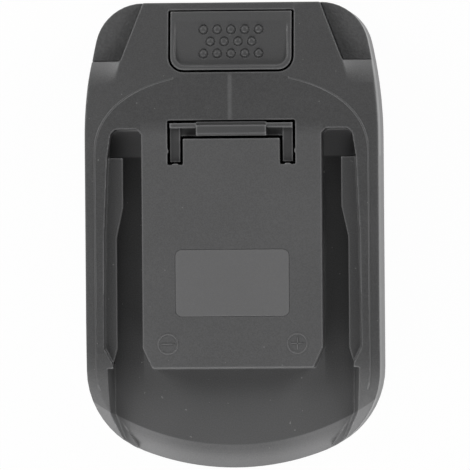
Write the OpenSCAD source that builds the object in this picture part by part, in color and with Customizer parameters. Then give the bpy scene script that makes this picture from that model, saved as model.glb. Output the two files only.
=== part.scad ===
// Slide-on adapter for cordless tools, in millimetres.
// A battery slides into the bay below, and a tool of another system takes the rails on top.
// X runs across, +Y points to the release button, and Z = 0 is the face that the adapter rests on.

/* [Overall] */
// Length from the bowed rear end to the button end
length = 120; // [114:1:132]
// Width across the side walls
width = 75.6; // [74:0.2:84]
// Height of the flat deck above the rest face
deck_z = 44; // [42:0.5:52]
// Corner radius of the outline at the button end
front_corner_r = 12.4; // [10:0.2:15]
// Radius of the bowed sides behind the front corners
side_bow_r = 115; // [90:5:150]
// Distance from the button end to where the sides begin to bow
side_bow = 35; // [31:1:40]
// Corner radius of the outline at the rear end
rear_corner_r = 22.5; // [18:0.5:26]
// Radius of the bowed rear end
rear_end_r = 64; // [52:1:75]

/* [Shells] */
// Thickness of the housing walls
wall = 2.4; // [1.8:0.1:3]
// Height at which the two housing shells meet
split_z = 24; // [23.5:0.5:26]
// Width of the bevel along the outer rim
rim_w = 2.6; // [1.5:0.1:3]
// Height of the bevel along the outer rim
rim_drop = 0.5; // [0.3:0.1:1.2]
// Depth by which the side rims fall towards the rear end
rim_fall = 7.5; // [5:0.5:11]
// Length over which the side rims fall
rim_fall_len = 36; // [28:1:44]
// Distance from the side walls to the straight ends of the arched crease between deck and hump
arch_side = 2.2; // [1.6:0.1:3]
// Length of the arched crease along the adapter
arch_len = 21.6; // [18:0.2:24]
// Fullness of the arched crease, 2 for an ellipse
arch_power = 2.3; // [2:0.05:2.8]
// Slope of the hump in degrees
hump_slope = 15; // [10:0.5:18]
// Length of the broken edge at the button end
front_break = 2.4; // [1.5:0.1:3]
// Slope of the shoulders behind the corner pads in degrees
shoulder_slope = 26; // [16:1:30]
// Length of the corner pads along the adapter
pad_len = 15; // [13:0.2:16]
// Width of the corner pads at the button end
pad_w = 15.3; // [13:0.1:16]
// Depth of the corner pads below the hump
pad_depth = 4.5; // [3.8:0.1:5]
// Thickness of the corner pads
pad_t = 2; // [1.4:0.1:2.4]

/* [Battery bay] */
// Clear width of the battery bay
bay_w = 60; // [56:0.5:61]
// Clear height of the battery bay
bay_h = 20; // [18:0.5:20.5]
// Thickness of the bay ceiling
ceiling_t = 2.4; // [2:0.1:2.8]
// Depth of the closed end behind the bay
bay_end = 12; // [10:0.5:14]
// Width of the battery rails
rail_w = 5; // [4:0.25:6]
// Height of the battery rails
rail_h = 4; // [3:0.25:5]
// Length of the notches for the battery's own side catches
catch_len = 8; // [6:0.5:10]
// Depth of the notches for the battery's own side catches
catch_depth = 1.8; // [1.2:0.1:2]

/* [Tool rails] */
// Width of the tongue between the rail channels
tongue_w = 46.4; // [45:0.2:48]
// Distance from the rear end to the end face of the tongue
tongue_end = 25.9; // [24:0.1:28]
// Depth of channels and apron below the deck
channel_depth = 9; // [8.6:0.1:10]
// Width across the outer walls of the channels
channel_w = 66.2; // [65:0.2:68]
// Distance from the button end to the closed ends of the channels
channel_front = 32.6; // [32:0.1:35]
// Step from the outer channel walls in to the side rims beside the apron
rim_step = 2.1; // [1.6:0.1:3]
// Distance from the closed end of a channel to its lip
lip_start = 7.3; // [6:0.1:9]
// Depth of the lips below the deck
lip_drop = 2.8; // [2:0.1:3]
// Thickness of the lips
lip_t = 2; // [1.6:0.1:2.2]
// Width of the lips at their wide front part
lip_wide = 5; // [4:0.1:5.2]
// Width of the lips at their narrow rear part
lip_narrow = 3.3; // [2.4:0.1:3.8]
// Radius of the edge where the apron turns down
apron_r = 63; // [58:1:75]
// Width of the end strip that slopes down behind the apron
end_strip = 6; // [4:0.5:7]
// Slope at the outer edge of the end strip in degrees
strip_slope = 26; // [18:1:32]
// Lean of the side rims beside the apron
rim_draft = 1.7; // [0.8:0.1:2]

/* [Release button] */
// Width of the release button
button_w = 31.2; // [26:0.2:34]
// Distance from the button end to the rear edge of the notch
notch_len = 18; // [17:0.1:19]
// Gap between button and notch
button_gap = 0.55; // [0.4:0.05:0.8]
// Gap between the front face of the button and the strip before it
front_gap = 0.3; // [0.2:0.05:0.5]
// Distance from the button end to the front face of the button
button_front = 2.3; // [2:0.1:2.6]
// Rear corner radius of the button
button_corner_r = 3.4; // [2:0.1:5]
// Width of the flat edge around the dish
dish_edge = 1.1; // [0.8:0.1:2]
// Width of the flat band in front of the dish
dish_front = 2.4; // [1.5:0.1:3]
// Depth of the dish at its rear edge
dish_depth = 1.2; // [0.8:0.1:1.5]
// Diameter of the grip bumps
bump_d = 2; // [1.4:0.1:2.6]
// Height of the grip bumps
bump_h = 0.65; // [0.3:0.05:0.9]
// Distance between bumps of one row
bump_pitch = 3.56; // [3:0.02:4.2]
// Distance between rows of bumps
bump_rows = 3.1; // [2.8:0.1:3.4]
// Distance of the bumps before the middle of the dish
bump_shift = 0.4; // [0:0.1:0.6]

/* [Latch] */
// Distance from the button end to the catch face of the hook
hook_front = 31.1; // [30.6:0.1:32]
// Width of the latch hook
hook_w = 31.6; // [28:0.2:34]
// Length of the latch hook
hook_len = 10; // [9:0.1:12]
// Thickness of the cross bar of the hook
hook_bar = 3.3; // [3:0.1:4]
// Width of the legs of the hook
hook_leg = 2.6; // [2:0.1:3.2]
// Width of the catch in the middle of the cross bar
hook_middle_w = 18; // [12:0.5:19]
// Height of the catch above the deck
hook_proud = 1; // [0.8:0.1:2]
// Gap between hook and slot
slot_gap = 0.7; // [0.5:0.05:0.9]
// Travel of button and hook
travel = 3.5; // [2.5:0.1:4]
// Thickness of the latch carriage
carriage_t = 3; // [2.6:0.1:3.4]
// Diameter of the guide posts
post_d = 5; // [4:0.1:5.6]
// Distance of the guide posts from the centre line
post_x = 12; // [11:0.25:12.5]
// Wire diameter of the latch springs
spring_wire = 0.8; // [0.5:0.05:0.9]
// Number of spring turns
spring_turns = 6; // [4:1:7]

/* [Label and marks] */
// Width of the label plate
label_w = 29.2; // [20:0.2:32]
// Length of the label plate
label_l = 17.1; // [12:0.1:20]
// Thickness of the label plate
label_t = 0.4; // [0.3:0.05:0.6]
// Height of the label plate above the deck
label_proud = 0.15; // [0.05:0.05:0.2]
// Diameter of the rings around the polarity marks
mark_d = 5.4; // [4:0.1:7]
// Line width of the polarity marks
mark_line = 0.35; // [0.25:0.05:0.5]
// Height of the polarity marks
mark_h = 0.2; // [0.1:0.05:0.3]

/* [Terminals] */
// Distance of the tool-side power clips from the centre line
clip_x = 11.5; // [10.5:0.1:12.5]
// Distance of the tool-side signal clips from the centre line
signal_clip_x = 3.8; // [3:0.1:4.5]
// Thickness of the clip metal
clip_t = 0.6; // [0.4:0.05:0.7]
// Gap of a clip for the blade of the tool
clip_gap = 0.8; // [0.6:0.05:1]
// Distance of the battery-side power blades from the centre line
blade_x = 13.5; // [12.5:0.1:15]
// Distance of the battery-side signal blades from the centre line
signal_blade_x = 4.5; // [3.6:0.1:5]
// Thickness of the blades
blade_t = 0.8; // [0.6:0.05:1]
// Height of the blades
blade_h = 8; // [6:0.1:9]
// Length of the power blades in the bay
blade_len = 14; // [10:0.5:18]
// Length of the signal blades in the bay
signal_blade_len = 10; // [8:0.5:14]
// Thickness of the circuit board
board_t = 1.6; // [1:0.1:2]
// Diameter of the power leads
lead_d = 1.8; // [1.2:0.1:2.2]
// Diameter of the signal leads
signal_lead_d = 1.2; // [0.8:0.1:1.5]

/* [Fasteners] */
// Shank diameter of the housing screws
housing_screw_d = 2.6; // [2:0.1:2.8]
// Head diameter of the housing screws
housing_head_d = 4.6; // [4:0.1:4.8]
// Depth of the housing screw heads above the rest face
housing_screw_z = 14; // [10:0.5:16]
// Shank diameter of the small screws
small_screw_d = 2; // [1.6:0.1:2]
// Head diameter of the small screws
small_head_d = 3.8; // [3.2:0.1:4]

/* [Hidden] */

$fn = 48;
// Facets of the apron's edge
apron_fn = 180;
// Steps of the arched crease
arch_steps = 40;
// Steps of one arc of the outline
arc_steps = 10;
// Steps of the straight side where the rim begins to fall
fall_steps = 4;
// Reach of a cut past the faces that it opens
past = 1;
// Reach of a joined shape into the wall that carries it
bite = 0.6;
// Clearance of a fixed fit
fit = 0.05;
// Radial clearance of the carriage on its posts
slide_fit = 0.1;
// Gap at the upper stop of the carriage
stop_gap = 0.15;

dark = [0.2, 0.2, 0.21];
darker = [0.13, 0.13, 0.14];
steel = [0.75, 0.76, 0.78];
brass = [0.8, 0.65, 0.3];
white = [0.88, 0.87, 0.84];

front_y = length / 2;
rear_y = -length / 2;
side_x = width / 2;

// Heights from the bottom up
chamber_z = bay_h + ceiling_t;
floor_z = deck_z - channel_depth;
under_floor_z = floor_z - wall;
under_deck_z = deck_z - wall;
carriage_top = under_deck_z - 5;
carriage_z = carriage_top - carriage_t;

// Outline centres
end_cy = rear_y + rear_end_r;
corner_cx = side_x - rear_corner_r;
corner_angle = asin(corner_cx / (rear_end_r - rear_corner_r));
corner_cy = end_cy - (rear_end_r - rear_corner_r) * cos(corner_angle);
bow_c = [side_x - side_bow_r, front_y - side_bow];
front_cy = front_y - front_corner_r;
bow_angle = asin((front_cy - bow_c.y) / (side_bow_r - front_corner_r));
front_cx = bow_c.x + (side_bow_r - front_corner_r) * cos(bow_angle);

// Hump
notch_y = front_y - notch_len;
arch_gap = 0.2;
arch_cy = notch_y - arch_gap - arch_len;
arch_x = side_x - arch_side;
arch_rise = arch_len * tan(hump_slope);
// Share of the way from the centre of the arch to its crease
function arch_share(x, y) =
    pow(pow(abs(x) / arch_x, arch_power) + pow(max(0, y - arch_cy) / arch_len, arch_power), 1 / arch_power);
function hump_z(x, y) = deck_z - arch_rise * max(0, arch_share(x, y) - 1);
break_slope = 22;

// Corner pads and the shoulders behind them
pad_y = front_y - pad_len;
pad_lean = 6.2;
pad_front_x = side_x - pad_w;
pad_rear_x = pad_front_x + pad_lean;
pad_z = hump_z(pad_rear_x, pad_y) - pad_depth;
pad_slope = 6;
shoulder_len = 7;
shoulder_lean = 1.9;
shoulder_end_slope = 5;
shoulder_steps = 7;
// Reach of the shoulder cut past the edge of the pad
shoulder_lap = [0.2, 0.5, 0.02];

// Rail channels, for the side of positive X
tongue_x = tongue_w / 2;
channel_x = channel_w / 2;
channel_y = front_y - channel_front;
tongue_y = rear_y + tongue_end;
rim_x = channel_x - rim_step;
lip_y = channel_y - lip_start;
lip_taper_y = lip_y - 12.8;
lip_taper_len = 7.8;
lip_end_y = tongue_y + 1.1;
lip_slant_len = 4;
// Lean of the outer channel wall at its closed end, at the lip and behind its taper
channel_lean = [2, 1.1, 0.2];
channel_chamfer = 1.2;
tongue_chamfer = [2.4, 5.2];
apron_cy = rear_y + end_strip + apron_r;
strip_steps = 4;
strip_first = 0.38;
rim_end = 14.4;
rim_end_y = rear_y + rim_end;
rim_tip = [rim_x - 6, rear_y + 5.8];
rim_start_y = rear_y + end_strip + rim_fall_len;
function rim_z(y) = deck_z - rim_fall * pow(max(0, rim_start_y - y) / rim_fall_len, 2);

// Button
button_y = notch_y + button_gap;
button_front_y = front_y - button_front;
notch_w = button_w + 2 * button_gap;
front_strip_drop = 0.35;
dish_y = button_y + dish_edge;
dish_front_y = button_front_y - dish_front;
button_sink = 0.2;
function button_z(y) = hump_z(0, y) - button_sink;
function dish_z(y) = let (front = button_z(dish_front_y), rear = button_z(dish_y) - dish_depth)
    front + (rear - front) * (dish_front_y - y) / (dish_front_y - dish_y);

// Latch
hook_y = front_y - hook_front;
hook_rear_y = hook_y - hook_len;
hook_bar_y = hook_y - hook_bar;
hook_x = hook_w / 2;
hook_leg_x = hook_x - hook_leg;
hook_ridge = 1.2;
ridge_z = deck_z + 0.3;
shelf_z = deck_z - 1.9;
leg_z = deck_z - 1.3;
ledge_z = deck_z - 0.4;
catch_front_y = hook_y - 0.6;
catch_rear_y = hook_bar_y + 0.2;
lead_in = 0.5;
nub_w = 1.3;
nub_side_y = hook_y - 7.6;
nub_side_l = 0.8;
nub_proud = 0.3;
nub_root = 2;
carriage_x = hook_x + 1.2;
carriage_rear_y = hook_rear_y - 1.4;
carriage_front_y = button_front_y - 2.2;
post_y = (notch_y + hook_y) / 2;
stop_rib_y = notch_y - 1;
stop_rib_t = 1.6;
spring_r = post_d / 2 + 0.7 + spring_wire / 2;
hook_screw_x = (hook_middle_w / 2 + hook_x) / 2;
hook_screw_y = hook_y - hook_bar / 2;
button_screw_x = 9;
button_screw_y = (button_y + button_front_y) / 2;
latch_head_h = 1.4;
hook_screw_grip = 4.4;
button_screw_grip = 1.6;

// Label and polarity marks
label_gap = 13.3;
label_y = tongue_y + label_gap + label_l / 2;
label_r = 1.6;
mark_x = tongue_x - 6.55;
mark_y = tongue_y + 6.2;

// Battery-side terminals
bay_y = rear_y + bay_end;
block_l = 8;
block_z = rail_h + 1;
block_w = 2 * blade_x + 9;
block_y = bay_y + block_l;
blade_z = (block_z + bay_h - blade_h) / 2;
blade_tail_l = 3;
blade_rear_y = bay_y + 2;
blade_top_z = chamber_z + 4.6;
blade_bevel = 1.4;
block_screw_x = (blade_x + signal_blade_x) / 2;
block_screw_y = bay_y + block_l / 2;
block_screw_grip = 6;

// Tool-side terminals
carrier_y = tongue_y + wall;
carrier_l = 13;
carrier_z = under_deck_z - 8.4;
carrier_w = 2 * clip_x + 6.4;
clip_w = clip_gap + 2 * clip_t;
clip_h = 5;
clip_l = 10;
slot_lift = 0.2;
clip_z = floor_z + slot_lift;
clip_y = carrier_y + 0.8;
clip_tail_y = carrier_y + carrier_l;
clip_tail_l = 1.6;
slot_w = clip_gap + 1;
ear_w = 5.2;
ear_t = 2;
ear_x = carrier_w / 2 + ear_w / 2;
ear_y = carrier_y + carrier_l / 2;
ear_z = carrier_z + 1.6;
ear_l = 6;
pillar_d = 4.6;
carrier_screw_grip = 3.6;
small_head_h = 1.4;

// Circuit board
board_z = chamber_z + 3.2;
board_top = board_z + board_t;
board_w = 36;
board_y = carrier_y + 8.6;
board_l = 31;
board_mid_y = board_y + board_l / 2;
transistor_size = [6.6, 6.2, 2.3];
control_size = [5, 4, 1.6];
resistor_size = [3.2, 1.6, 0.6];
board_screw_x = board_w / 2 - 3;
board_screw_y = [board_y + 13, board_y + board_l - 4];
boss_d = 5;
board_screw_grip = 3;
lead_pad_y = board_y + 2.4;
lead_rise = 0.6;

// Housing screws
screw_x = (bay_w / 2 + side_x) / 2;
screw_inset = 30;
screw_y = [front_y - screw_inset, rear_y + screw_inset];
screw_boss_d = housing_screw_d + 4.4;
catch_y = screw_y[0] - 14;
catch_margin = 3;
housing_screw_grip = under_floor_z - split_z - 1.2;
housing_head_h = 2;
hole_fit = 0.1;
loose_fit = 0.3;
head_fit = 0.4;
head_sink = 0.2;

// Points along an arc
function arc(c, r, from, to, steps = arc_steps) =
    [for (i = [0:steps]) c + r * [cos(from + (to - from) * i / steps), sin(from + (to - from) * i / steps)]];

// Points along an arc after its first one, which the line before it ends on
function arc_on(c, r, from, to) = let (p = arc(c, r, from, to)) [for (i = [1:len(p) - 1]) p[i]];

// Right half of the outline from the rear end to the button end
function half_outline(inset) = concat(
    arc([0, end_cy], rear_end_r - inset, -90, -90 + corner_angle),
    arc_on([corner_cx, corner_cy], rear_corner_r - inset, -90 + corner_angle, 0),
    [for (i = [1:fall_steps]) [side_x - inset, corner_cy + (rim_start_y - corner_cy) * i / fall_steps]],
    arc(bow_c, side_bow_r - inset, 0, bow_angle),
    arc_on([front_cx, front_cy], front_corner_r - inset, bow_angle, 90)
);

// Closed outline of the housing
function outline_points(inset) = let (half = half_outline(inset), n = len(half))
    concat(half, [for (i = [n - 1:-1:1]) [-half[i].x, half[i].y]]);

module outline(inset = 0) {
    polygon(outline_points(inset));
}

// Rectangle with four rounded corners
module rounded_plan(x0, y0, x1, y1, r) {
    polygon(concat(
        arc([x1 - r, y1 - r], r, 0, 90, 6),
        arc([x0 + r, y1 - r], r, 90, 180, 6),
        arc([x0 + r, y0 + r], r, 180, 270, 6),
        arc([x1 - r, y0 + r], r, 270, 360, 6)
    ));
}

// Block that is centred across the adapter
module centred_block(w, y0, y1, z0, z1) {
    translate([-w / 2, y0, z0]) cube([w, y1 - y0, z1 - z0]);
}

// Side profile in Y and Z, drawn out across the whole width
module across(points) {
    rotate([90, 0, 90]) translate([0, 0, -side_x - past]) linear_extrude(width + 2 * past) polygon(points);
}

// Copies on both sides of the centre line
module both_sides() {
    children();
    mirror([1, 0, 0]) children();
}

// Solid under the deck, with the bevelled rim that falls towards the rear
module crown() {
    outer = outline_points(0);
    inner = outline_points(rim_w);
    n = len(outer);
    half = (n + 1) / 2;
    points = concat(
        [for (p = outer) [p.x, p.y, split_z]],
        [for (p = outer) [p.x, p.y, rim_z(p.y) - rim_drop]],
        [for (p = inner) [p.x, p.y, rim_z(p.y)]]
    );
    bands = [for (ring = [0, n], i = [0:n - 1]) let (j = (i + 1) % n)
        each [[ring + i, ring + n + j, ring + j], [ring + i, ring + n + i, ring + n + j]]];
    roof = [for (i = [1:half - 2])
        each [[2 * n + i, 3 * n - i - 1, 2 * n + i + 1], [2 * n + i, 3 * n - i, 3 * n - i - 1]]];
    polyhedron(points, concat(
        [[for (i = [0:n - 1]) i]],
        bands,
        [[2 * n, 3 * n - 1, 2 * n + 1]],
        roof
    ));
}

// Half of the arched crease, from the right side to the left
function arch_points() = [for (i = [0:arch_steps]) let (
        a = 180 * i / arch_steps,
        p = [arch_x * cos(a), arch_len * sin(a)],
        share = arch_share(p.x, p.y + arch_cy)
    ) p / share];

// Space under the arched crease and the sloping hump
module arch() {
    grow = 1 + (deck_z - split_z) / arch_rise;
    back = rear_y - past - arch_cy;
    crease = concat([[arch_x, back]], arch_points(), [[-arch_x, back]]);
    n = len(crease);
    translate([0, arch_cy, 0]) polyhedron(
        concat(
            [for (p = crease) [p.x * grow, p.y == back ? back : p.y * grow, split_z]],
            [for (p = crease) [p.x, p.y, deck_z]]
        ),
        concat(
            [[for (i = [0:n - 1]) i], [for (i = [n - 1:-1:0]) n + i]],
            [for (i = [0:n - 1]) let (j = (i + 1) % n) [i, n + i, n + j, j]]
        )
    );
}

// Outer form of the top shell before its recesses
module outer_form() {
    break_z = hump_z(0, front_y - front_break);
    break_low_z = break_z - front_break * tan(break_slope);
    difference() {
        intersection() {
            crown();
            arch();
        }
        across([
            [front_y - front_break, break_z],
            [front_y, break_low_z],
            [front_y + past, break_low_z],
            [front_y + past, deck_z],
            [front_y - front_break, deck_z]
        ]);
        both_sides() shoulder_cut();
    }
}

// Cut that lets a shoulder fall outwards, steepest at the corner pad and fading out behind it
module shoulder_cut() {
    reach = side_x - pad_rear_x + past;
    top_z = deck_z + past;
    tube([for (i = [0:shoulder_steps]) let (
        t = i / shoulder_steps,
        x = pad_rear_x - shoulder_lap.x + shoulder_lean * t,
        y = pad_y + shoulder_lap.y - shoulder_len * t,
        z = hump_z(x, y) + shoulder_lap.z,
        fall = tan(shoulder_slope + (shoulder_end_slope - shoulder_slope) * t)
    ) concat(
        [[x + reach, y, top_z]],
        [for (k = [shoulder_steps:-1:0]) [x, y, z] + reach * k / shoulder_steps * [1, 0, -fall]],
        [[x, y, top_z]]
    )]);
}

// Plan of one rail channel
module channel_plan() {
    c = channel_chamfer;
    front_x = channel_x - channel_lean[0];
    polygon([
        [tongue_x, channel_y - c],
        [tongue_x + c, channel_y],
        [front_x - c, channel_y],
        [front_x, channel_y - c],
        [channel_x - channel_lean[1], lip_y],
        [channel_x - channel_lean[2], lip_taper_y - lip_taper_len],
        [channel_x, lip_end_y + lip_slant_len],
        [rim_x, lip_end_y],
        [rim_x, tongue_y - past],
        [tongue_x - tongue_chamfer.x, tongue_y - past],
        [tongue_x - tongue_chamfer.x, tongue_y],
        [tongue_x, tongue_y + tongue_chamfer.y]
    ]);
}

// Plan of apron and end strip between the side rims, grown by the lean of the rims
module strip_plan(grow = 0) {
    x = rim_x + grow;
    tip_x = rim_tip.x + grow;
    polygon([
        [x, tongue_y], [x, rim_end_y], [tip_x, rim_tip.y], [tip_x, rear_y - past],
        [-tip_x, rear_y - past], [-tip_x, rim_tip.y], [-x, rim_end_y], [-x, tongue_y]
    ]);
}

// Space above apron and end strip, between rims that lean outwards
module strip_space() {
    skin = 0.01;
    difference() {
        union() {
            translate([0, 0, bay_h]) linear_extrude(floor_z + skin - bay_h) strip_plan();
            hull() {
                translate([0, 0, floor_z]) linear_extrude(skin) strip_plan();
                translate([0, 0, deck_z]) linear_extrude(skin) strip_plan(rim_draft);
            }
        }
        apron_floor();
    }
}

// Floor that turns down in steps along an arc at the rear end, lowered by a depth
module apron_floor(depth = 0) {
    intersection_for(i = [0:strip_steps])
        apron_cone(floor_z - bay_h, depth, end_strip / 13 * i,
            strip_slope * (strip_first + (1 - strip_first) * i / strip_steps));
}

module apron_cone(h, depth, start, slope) {
    translate([0, apron_cy, bay_h - depth])
        cylinder(h = h, r1 = apron_r + start + h / tan(slope), r2 = apron_r + start, $fn = apron_fn);
}

// Plan of one channel lip, reaching into the wall that carries it
module lip_plan() {
    outer_x = channel_x + bite;
    polygon([
        [outer_x, lip_y],
        [channel_x - lip_wide, lip_y],
        [channel_x - lip_wide, lip_taper_y],
        [channel_x - lip_narrow, lip_taper_y - lip_taper_len],
        [channel_x - lip_narrow, lip_end_y + lip_slant_len],
        [rim_x, lip_end_y],
        [outer_x, lip_end_y]
    ]);
}

// Plan of one corner pad, grown by a clearance
module pad_plan(grow = 0) {
    polygon([
        [pad_front_x - grow, front_y + past],
        [pad_rear_x - grow, pad_y - grow],
        [side_x + past, pad_y - grow],
        [side_x + past, front_y + past]
    ]);
}

// Hollow of the top shell
module top_cavity() {
    difference() {
        intersection() {
            translate([0, 0, split_z - past]) linear_extrude(under_floor_z - split_z + past) outline(wall);
            apron_floor(wall * 1.5);
        }
        both_sides() for (y = screw_y) translate([screw_x, y, split_z - 2 * past])
            cylinder(h = deck_z, d = screw_boss_d);
    }
    difference() {
        centred_block(tongue_w - 2 * wall, carrier_y, channel_y + wall + past, split_z, under_deck_z);
        both_sides() translate([ear_x, ear_y, ear_z + ear_t])
            cylinder(h = deck_z, d = pillar_d);
    }
    difference() {
        intersection() {
            translate([0, 0, split_z]) linear_extrude(deck_z) intersection() {
                outline(wall);
                polygon([
                    [side_x, channel_y + wall], [side_x, pad_y - wall], [pad_front_x - wall, pad_y - wall],
                    [pad_front_x - wall, front_y], [wall - pad_front_x, front_y],
                    [wall - pad_front_x, pad_y - wall], [-side_x, pad_y - wall], [-side_x, channel_y + wall]
                ]);
            }
            translate([0, 0, -wall]) arch();
        }
        both_sides() translate([screw_x, screw_y[0], split_z - past]) cylinder(h = deck_z, d = screw_boss_d);
        // Rib that stops the carriage on its way up
        centred_block(post_x, stop_rib_y - stop_rib_t, stop_rib_y, carriage_top + stop_gap, deck_z);
    }
}

// Slot for the latch hook, open towards the rear like a staple
module hook_slot() {
    difference() {
        centred_block(hook_w + 2 * slot_gap, hook_rear_y - slot_gap, hook_y + slot_gap, carriage_top,
            deck_z + past);
        centred_block(2 * (hook_leg_x - slot_gap), hook_rear_y - nub_root, hook_bar_y - slot_gap, split_z,
            deck_z + 2 * past);
        // Small guide nubs at the ends and the outer sides of the legs
        both_sides() {
            translate([hook_x - hook_leg / 2 - nub_w / 2, hook_rear_y - nub_root, split_z])
                cube([nub_w, nub_root - slot_gap + nub_proud, deck_z]);
            translate([hook_x + slot_gap - nub_proud, nub_side_y, split_z])
                cube([nub_root, nub_side_l, deck_z]);
        }
    }
}

// Opening for the release button, with a low strip of wall left in front of it
module button_notch() {
    inner_y = button_front_y + front_gap;
    r = button_corner_r + button_gap;
    translate([0, 0, carriage_z - travel])
        linear_extrude(deck_z) intersection() {
            rounded_plan(-notch_w / 2, notch_y, notch_w / 2, front_y + 2 * r, r);
            translate([-side_x, notch_y - past]) square([width, inner_y - notch_y + past]);
        }
    intersection() {
        centred_block(notch_w, inner_y - past, front_y + past, split_z, deck_z);
        across([
            [inner_y - past, hump_z(0, inner_y - past) - front_strip_drop],
            [front_y + past, hump_z(0, front_y + past) - front_strip_drop],
            [front_y + past, deck_z + past],
            [inner_y - past, deck_z + past]
        ]);
    }
}

// Raised polarity mark: a ring with a bar, and a second bar for the positive side
module polarity_mark(bars) {
    translate([0, 0, deck_z - bite]) linear_extrude(bite + mark_h) {
        difference() {
            circle(d = mark_d);
            circle(d = mark_d - 2 * mark_line);
        }
        for (i = [0:bars - 1]) rotate(90 * i) square([mark_d * 0.62, mark_line], center = true);
    }
}

module top_shell() {
    color(dark) difference() {
        union() {
            difference() {
                union() {
                    outer_form();
                    // The tongue stays level where the side rims fall
                    centred_block(tongue_w, tongue_y, rim_start_y, split_z, deck_z);
                }
                both_sides() translate([0, 0, floor_z]) linear_extrude(deck_z) channel_plan();
                strip_space();
                top_cavity();
            }
            both_sides() translate([0, 0, deck_z - lip_drop - lip_t]) linear_extrude(lip_t) lip_plan();
            translate([-mark_x, mark_y, 0]) polarity_mark(1);
            translate([mark_x, mark_y, 0]) polarity_mark(2);
        }
        button_notch();
        hook_slot();
        translate([0, 0, deck_z - label_t + label_proud]) linear_extrude(deck_z) label_outline(fit);
        both_sides() difference() {
            translate([0, 0, split_z + past]) linear_extrude(deck_z) pad_plan(fit);
            under_pad(pad_t + fit);
        }
        // Slots for the blades of the tool
        for (x = [-clip_x, -signal_clip_x, signal_clip_x, clip_x])
            translate([x - slot_w / 2, tongue_y - past, clip_z])
                cube([slot_w, wall + 2 * past, clip_h]);
        // Bores for the screws
        both_sides() for (y = screw_y) translate([screw_x, y, split_z - past])
            cylinder(h = housing_screw_grip + past + fit, d = housing_screw_d + hole_fit);
        both_sides() translate([ear_x, ear_y, ear_z + ear_t - past])
            cylinder(h = carrier_screw_grip + past + fit, d = small_screw_d + hole_fit);
    }
}

module bottom_shell() {
    color(dark) difference() {
        union() {
            difference() {
                linear_extrude(split_z) outline();
                centred_block(bay_w, bay_y, front_y + past, -past, bay_h);
                translate([0, 0, chamber_z]) linear_extrude(split_z) outline(wall);
                side_hollows();
            }
            intersection() {
                linear_extrude(rail_h) outline();
                both_sides() translate([bay_w / 2 - rail_w, block_y + past, 0])
                    cube([rail_w + bite, length, rail_h]);
            }
            both_sides() {
                for (y = screw_y) translate([screw_x, y, chamber_z - bite])
                    cylinder(h = split_z - chamber_z + bite, d = screw_boss_d);
                translate([post_x, post_y, chamber_z - bite])
                    cylinder(h = carriage_top + 2 - chamber_z + bite, d = post_d);
                for (y = board_screw_y) translate([board_screw_x, y, chamber_z - bite])
                    cylinder(h = board_z - chamber_z + bite, d = boss_d);
            }
        }
        both_sides() {
            for (y = screw_y) translate([screw_x, y, -past]) {
                cylinder(h = housing_screw_z + past, d = housing_head_d + head_fit);
                cylinder(h = split_z + 2 * past, d = housing_screw_d + loose_fit);
            }
            for (y = board_screw_y) translate([board_screw_x, y, board_z - board_screw_grip - fit])
                cylinder(h = board_screw_grip + past, d = small_screw_d + hole_fit);
            translate([block_screw_x, block_screw_y, bay_h - past])
                cylinder(h = ceiling_t + 2 * past, d = small_screw_d + loose_fit);
            // Notches for the battery's own side catches
            translate([bay_w / 2 - past, catch_y, rail_h + catch_margin])
                cube([catch_depth + past, catch_len, bay_h - rail_h - 2 * catch_margin]);
        }
        // Slots for the tails of the blades
        for (x = [-blade_x, -signal_blade_x, signal_blade_x, blade_x])
            centred_at(x, blade_t + 4 * fit, blade_rear_y - 2 * fit, blade_rear_y + blade_tail_l + 2 * fit,
                bay_h - past, chamber_z + past);
    }
}

// Hollows in the thick side walls and behind the end of the bay, open to the top
module side_hollows() {
    inner_x = bay_w / 2 + wall;
    outer_x = side_x - wall;
    rear = screw_y[1] + screw_boss_d / 2;
    both_sides() translate([inner_x, rear, wall])
        cube([outer_x - inner_x, catch_y - wall - rear, split_z]);
    centred_block(bay_w / 2, rear_y + 2 * wall, bay_y - wall, wall, split_z);
}

// Block at a place across the adapter
module centred_at(x, w, y0, y1, z0, z1) {
    translate([x, 0, 0]) centred_block(w, y0, y1, z0, z1);
}

// Space under the face of the corner pads, lowered by a depth
module under_pad(depth) {
    rear = pad_y - 2 * past;
    front = front_y + 2 * past;
    across([
        [rear, split_z - past],
        [front, split_z - past],
        [front, pad_z - depth - (front - pad_y) * tan(pad_slope)],
        [rear, pad_z - depth - (rear - pad_y) * tan(pad_slope)]
    ]);
}

module corner_pads() {
    color(darker) both_sides() difference() {
        intersection() {
            translate([0, 0, split_z]) linear_extrude(deck_z) intersection() {
                pad_plan();
                outline();
            }
            under_pad(0);
        }
        under_pad(pad_t);
    }
}

module label_outline(grow = 0) {
    rounded_plan(-label_w / 2 - grow, label_y - label_l / 2 - grow, label_w / 2 + grow,
        label_y + label_l / 2 + grow, label_r);
}

module label_plate() {
    color([0.3, 0.3, 0.31]) translate([0, 0, deck_z - label_t + label_proud])
        linear_extrude(label_t) label_outline();
}

// Places of the grip bumps: rows of five, four and five
function bump_places() = let (middle_y = (dish_y + dish_front_y) / 2 + bump_shift)
    [for (row = [-1:1]) let (n = row == 0 ? 4 : 5)
        for (i = [0:n - 1]) [(i - (n - 1) / 2) * bump_pitch, middle_y + row * bump_rows]];

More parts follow.
